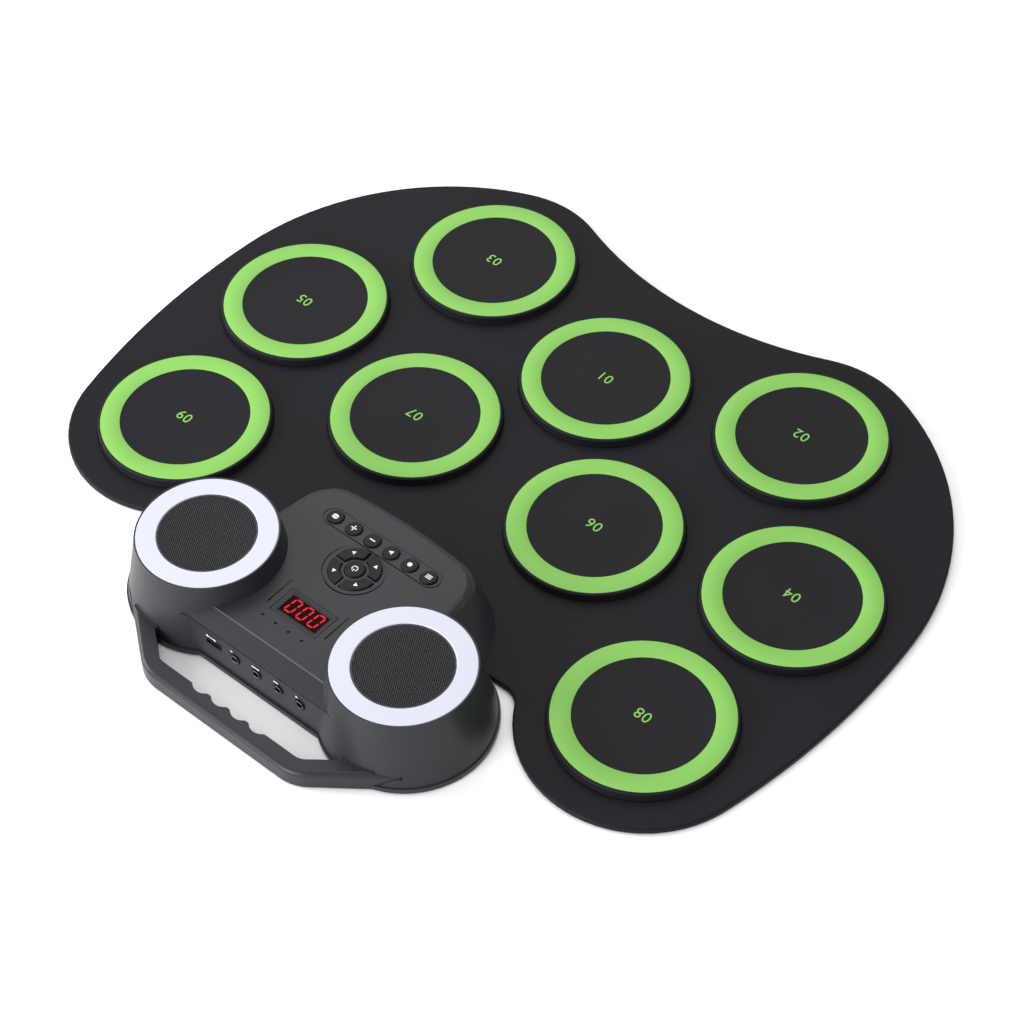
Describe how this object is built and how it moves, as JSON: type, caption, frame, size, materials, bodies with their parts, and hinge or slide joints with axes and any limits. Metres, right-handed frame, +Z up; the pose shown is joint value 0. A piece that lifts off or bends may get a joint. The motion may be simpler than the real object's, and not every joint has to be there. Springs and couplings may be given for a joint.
{
  "type": "electronic drum pad",
  "caption": "Roll-up electronic drum mat with round rubber pads, a console with two lit speakers, a digit display, panel keys and a rear carrying handle.",
  "frame": {"origin": "middle of the footprint, on the surface the mat lies on", "axes": "+X to the player's right, +Y away from the player towards the carrying handle, +Z up"},
  "size_m": [0.4504, 0.385, 0.0415],
  "materials": {
    "pad_rubber": "matte silicone",
    "mat_silicone": "matte silicone",
    "grip_rubber": "matte",
    "sensor_film": "film",
    "key_rubber": "satin",
    "case_plastic": "satin moulded",
    "light_diffuser": "frosted",
    "grille_metal": "fine black mesh",
    "plated_steel": "zinc plated",
    "magnet_ferrite": "ferrite",
    "cone_paper": "pressed paper",
    "smoked_window": "smoked red clear plastic",
    "black_moulding": "moulded",
    "circuit_board": "solder mask",
    "cell_wrap": "shrink wrap"
  },
  "bodies": {
    "console_and_mat": {"base_sheet": "grip_rubber", "drum_mat": "mat_silicone", "pad_sensors": "sensor_film", "upper_case": "case_plastic", "lower_case": "case_plastic", "handle_lower": "case_plastic", "handle_upper": "case_plastic", "left_light_ring": "light_diffuser", "left_led_board": "circuit_board", "left_speaker_grille": "grille_metal", "left_speaker_basket": "plated_steel", "left_speaker_cone": "cone_paper", "left_speaker_magnet": "magnet_ferrite", "right_light_ring": "light_diffuser", "right_led_board": "circuit_board", "right_speaker_grille": "grille_metal", "right_speaker_basket": "plated_steel", "right_speaker_cone": "cone_paper", "right_speaker_magnet": "magnet_ferrite", "display_bezel": "case_plastic", "display_window": "smoked_window", "digit_display": "black_moulding", "status_lamps": "light_diffuser", "panel_board": "circuit_board", "key_switches": "black_moulding", "main_board": "circuit_board", "battery": "cell_wrap", "audio_jacks": "black_moulding", "usb_socket": "plated_steel", "case_screws": "plated_steel", "rubber_feet": "grip_rubber"},
    "bass_pad_body": {"bass_pad": "pad_rubber"},
    "snare_pad_body": {"snare_pad": "pad_rubber"},
    "floor_tom_pad_body": {"floor_tom_pad": "pad_rubber"},
    "hi_hat_pad_body": {"hi_hat_pad": "pad_rubber"},
    "ride_pad_body": {"ride_pad": "pad_rubber"},
    "high_tom_pad_body": {"high_tom_pad": "pad_rubber"},
    "low_tom_pad_body": {"low_tom_pad": "pad_rubber"},
    "left_crash_pad_body": {"left_crash_pad": "pad_rubber"},
    "right_crash_pad_body": {"right_crash_pad": "pad_rubber"},
    "mode_key_body": {"mode_key": "key_rubber"},
    "record_key_body": {"record_key": "key_rubber"},
    "play_key_body": {"play_key": "key_rubber"},
    "tempo_down_key_body": {"tempo_down_key": "key_rubber"},
    "tempo_up_key_body": {"tempo_up_key": "key_rubber"},
    "kit_key_body": {"kit_key": "key_rubber"},
    "power_key_body": {"power_key": "key_rubber"},
    "volume_up_key_body": {"volume_up_key": "key_rubber"},
    "accompany_down_key_body": {"accompany_down_key": "key_rubber"},
    "volume_down_key_body": {"volume_down_key": "key_rubber"},
    "accompany_up_key_body": {"accompany_up_key": "key_rubber"}
  },
  "joints": [
    {"name": "bass_pad_press", "type": "slide", "parent": "console_and_mat", "child": "bass_pad_body", "axis": [0, 0, -1], "range_m": [0, 0.0008], "stiffness_N_per_m": 3000, "springref_m": -0.0004},
    {"name": "snare_pad_press", "type": "slide", "parent": "console_and_mat", "child": "snare_pad_body", "axis": [0, 0, -1], "range_m": [0, 0.0008], "stiffness_N_per_m": 3000, "springref_m": -0.0004},
    {"name": "floor_tom_pad_press", "type": "slide", "parent": "console_and_mat", "child": "floor_tom_pad_body", "axis": [0, 0, -1], "range_m": [0, 0.0008], "stiffness_N_per_m": 3000, "springref_m": -0.0004},
    {"name": "hi_hat_pad_press", "type": "slide", "parent": "console_and_mat", "child": "hi_hat_pad_body", "axis": [0, 0, -1], "range_m": [0, 0.0008], "stiffness_N_per_m": 3000, "springref_m": -0.0004},
    {"name": "ride_pad_press", "type": "slide", "parent": "console_and_mat", "child": "ride_pad_body", "axis": [0, 0, -1], "range_m": [0, 0.0008], "stiffness_N_per_m": 3000, "springref_m": -0.0004},
    {"name": "high_tom_pad_press", "type": "slide", "parent": "console_and_mat", "child": "high_tom_pad_body", "axis": [0, 0, -1], "range_m": [0, 0.0008], "stiffness_N_per_m": 3000, "springref_m": -0.0004},
    {"name": "low_tom_pad_press", "type": "slide", "parent": "console_and_mat", "child": "low_tom_pad_body", "axis": [0, 0, -1], "range_m": [0, 0.0008], "stiffness_N_per_m": 3000, "springref_m": -0.0004},
    {"name": "left_crash_pad_press", "type": "slide", "parent": "console_and_mat", "child": "left_crash_pad_body", "axis": [0, 0, -1], "range_m": [0, 0.0008], "stiffness_N_per_m": 3000, "springref_m": -0.0004},
    {"name": "right_crash_pad_press", "type": "slide", "parent": "console_and_mat", "child": "right_crash_pad_body", "axis": [0, 0, -1], "range_m": [0, 0.0008], "stiffness_N_per_m": 3000, "springref_m": -0.0004},
    {"name": "mode_key_press", "type": "slide", "parent": "console_and_mat", "child": "mode_key_body", "axis": [0, 0, -1], "range_m": [0, 0.0005], "stiffness_N_per_m": 600, "springref_m": -0.0005},
    {"name": "record_key_press", "type": "slide", "parent": "console_and_mat", "child": "record_key_body", "axis": [0, 0, -1], "range_m": [0, 0.0005], "stiffness_N_per_m": 600, "springref_m": -0.0005},
    {"name": "play_key_press", "type": "slide", "parent": "console_and_mat", "child": "play_key_body", "axis": [0, 0, -1], "range_m": [0, 0.0005], "stiffness_N_per_m": 600, "springref_m": -0.0005},
    {"name": "tempo_down_key_press", "type": "slide", "parent": "console_and_mat", "child": "tempo_down_key_body", "axis": [0, 0, -1], "range_m": [0, 0.0005], "stiffness_N_per_m": 600, "springref_m": -0.0005},
    {"name": "tempo_up_key_press", "type": "slide", "parent": "console_and_mat", "child": "tempo_up_key_body", "axis": [0, 0, -1], "range_m": [0, 0.0005], "stiffness_N_per_m": 600, "springref_m": -0.0005},
    {"name": "kit_key_press", "type": "slide", "parent": "console_and_mat", "child": "kit_key_body", "axis": [0, 0, -1], "range_m": [0, 0.0005], "stiffness_N_per_m": 600, "springref_m": -0.0005},
    {"name": "power_key_press", "type": "slide", "parent": "console_and_mat", "child": "power_key_body", "axis": [0, 0, -1], "range_m": [0, 0.0005], "stiffness_N_per_m": 600, "springref_m": -0.0005},
    {"name": "volume_up_key_press", "type": "slide", "parent": "console_and_mat", "child": "volume_up_key_body", "axis": [0, 0, -1], "range_m": [0, 0.0005], "stiffness_N_per_m": 600, "springref_m": -0.0005},
    {"name": "accompany_down_key_press", "type": "slide", "parent": "console_and_mat", "child": "accompany_down_key_body", "axis": [0, 0, -1], "range_m": [0, 0.0005], "stiffness_N_per_m": 600, "springref_m": -0.0005},
    {"name": "volume_down_key_press", "type": "slide", "parent": "console_and_mat", "child": "volume_down_key_body", "axis": [0, 0, -1], "range_m": [0, 0.0005], "stiffness_N_per_m": 600, "springref_m": -0.0005},
    {"name": "accompany_up_key_press", "type": "slide", "parent": "console_and_mat", "child": "accompany_up_key_body", "axis": [0, 0, -1], "range_m": [0, 0.0005], "stiffness_N_per_m": 600, "springref_m": -0.0005}
  ]
}
